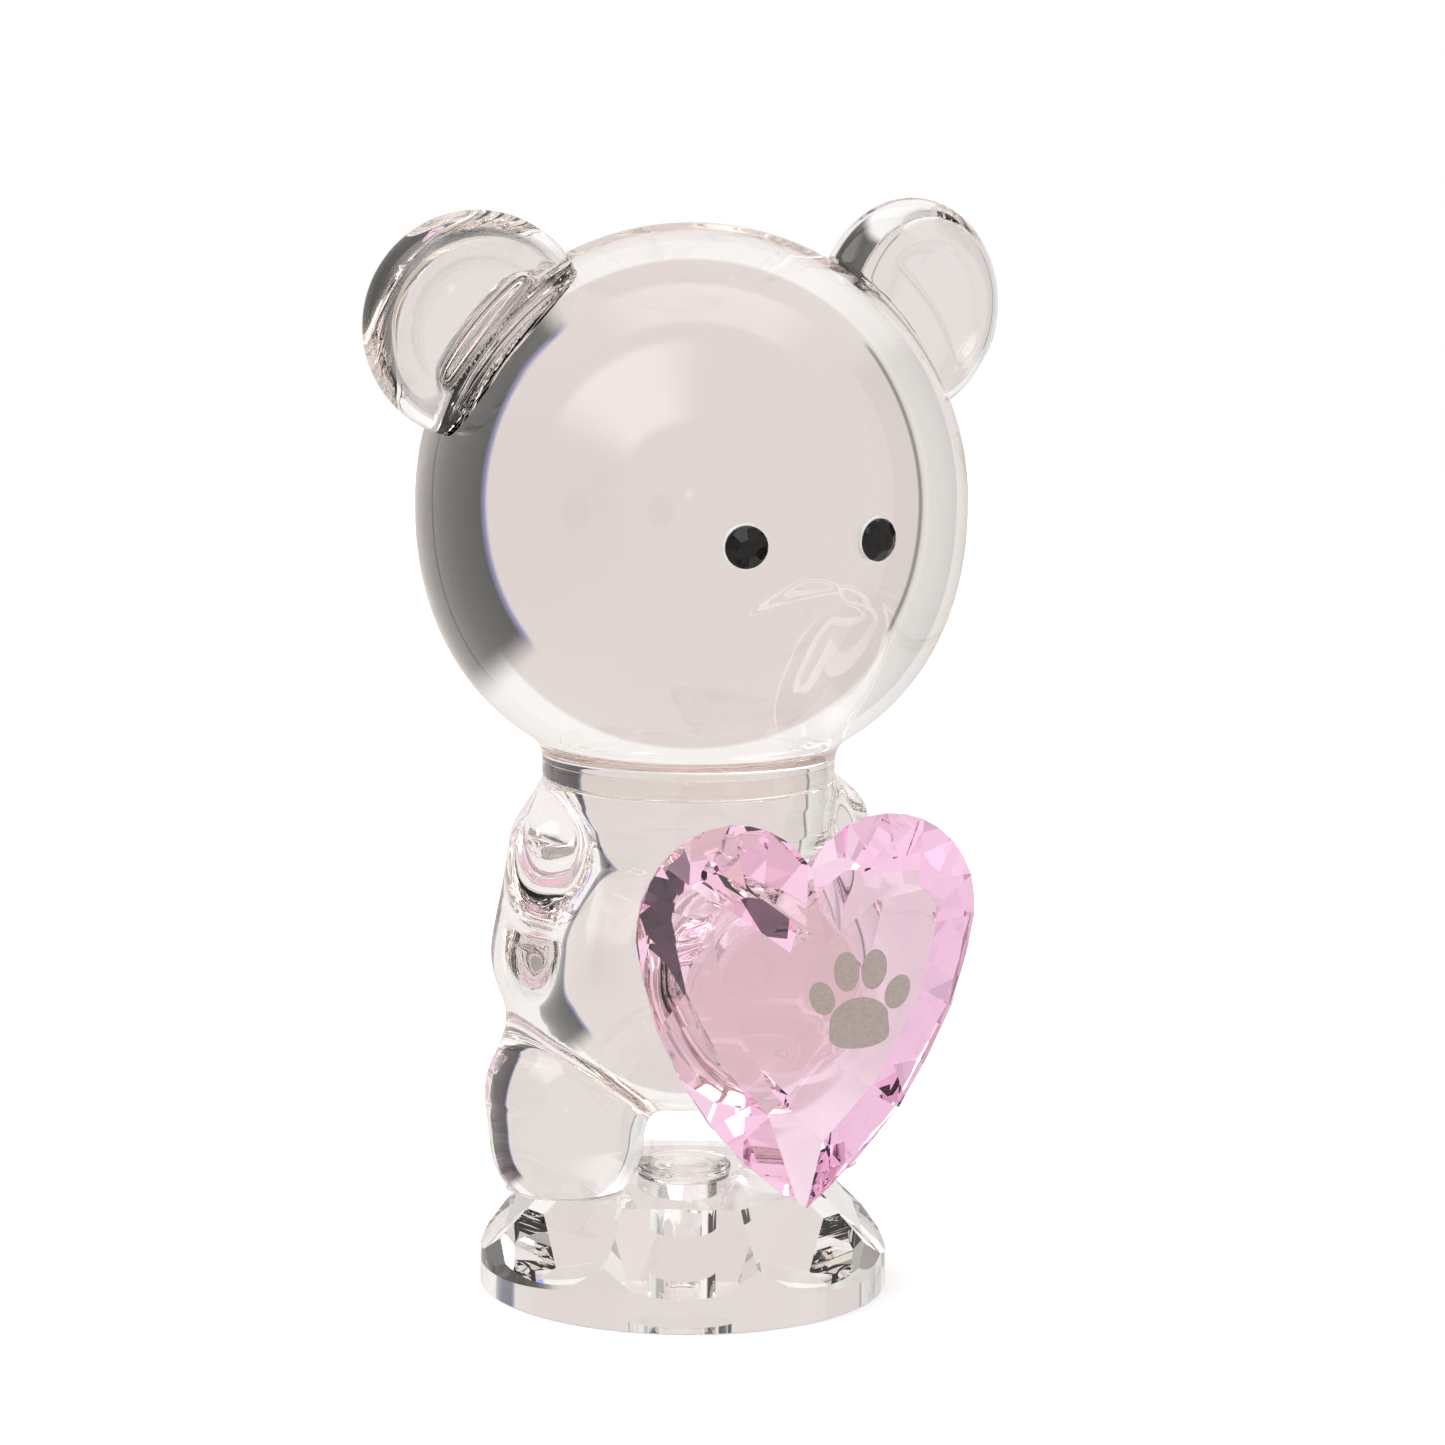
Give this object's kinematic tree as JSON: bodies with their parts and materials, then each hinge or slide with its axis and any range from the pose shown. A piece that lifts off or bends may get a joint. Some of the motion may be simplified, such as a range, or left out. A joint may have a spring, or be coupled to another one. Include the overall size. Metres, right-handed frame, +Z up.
{
  "type": "crystal glass bear figurine",
  "caption": "Clear crystal glass teddy bear figurine that holds a faceted pink heart and stands on a faceted round base.",
  "frame": {"origin": "centre of the round base's flat underside", "axes": "+Z up through the middle of the base, the body and the head; the bear faces -Y; its own left side is +X"},
  "size_m": [0.0632, 0.0538, 0.1],
  "materials": {
    "clear_crystal": "polished",
    "pink_crystal": "polished",
    "clear_adhesive": "gloss",
    "jet_stone": "polished"
  },
  "bodies": {
    "root": {"base": "clear_crystal", "base_plug": "clear_crystal", "plug_bond": "clear_adhesive", "foot_bond_left": "clear_adhesive", "foot_bond_right": "clear_adhesive", "body": "clear_crystal", "neck_bond": "clear_adhesive", "head": "clear_crystal", "ear_left": "clear_crystal", "ear_right": "clear_crystal", "ear_bond_left": "clear_adhesive", "ear_bond_right": "clear_adhesive", "eye_left": "jet_stone", "eye_right": "jet_stone", "eye_bond_left": "clear_adhesive", "eye_bond_right": "clear_adhesive", "heart": "pink_crystal", "heart_bond": "clear_adhesive"}
  },
  "joints": []
}
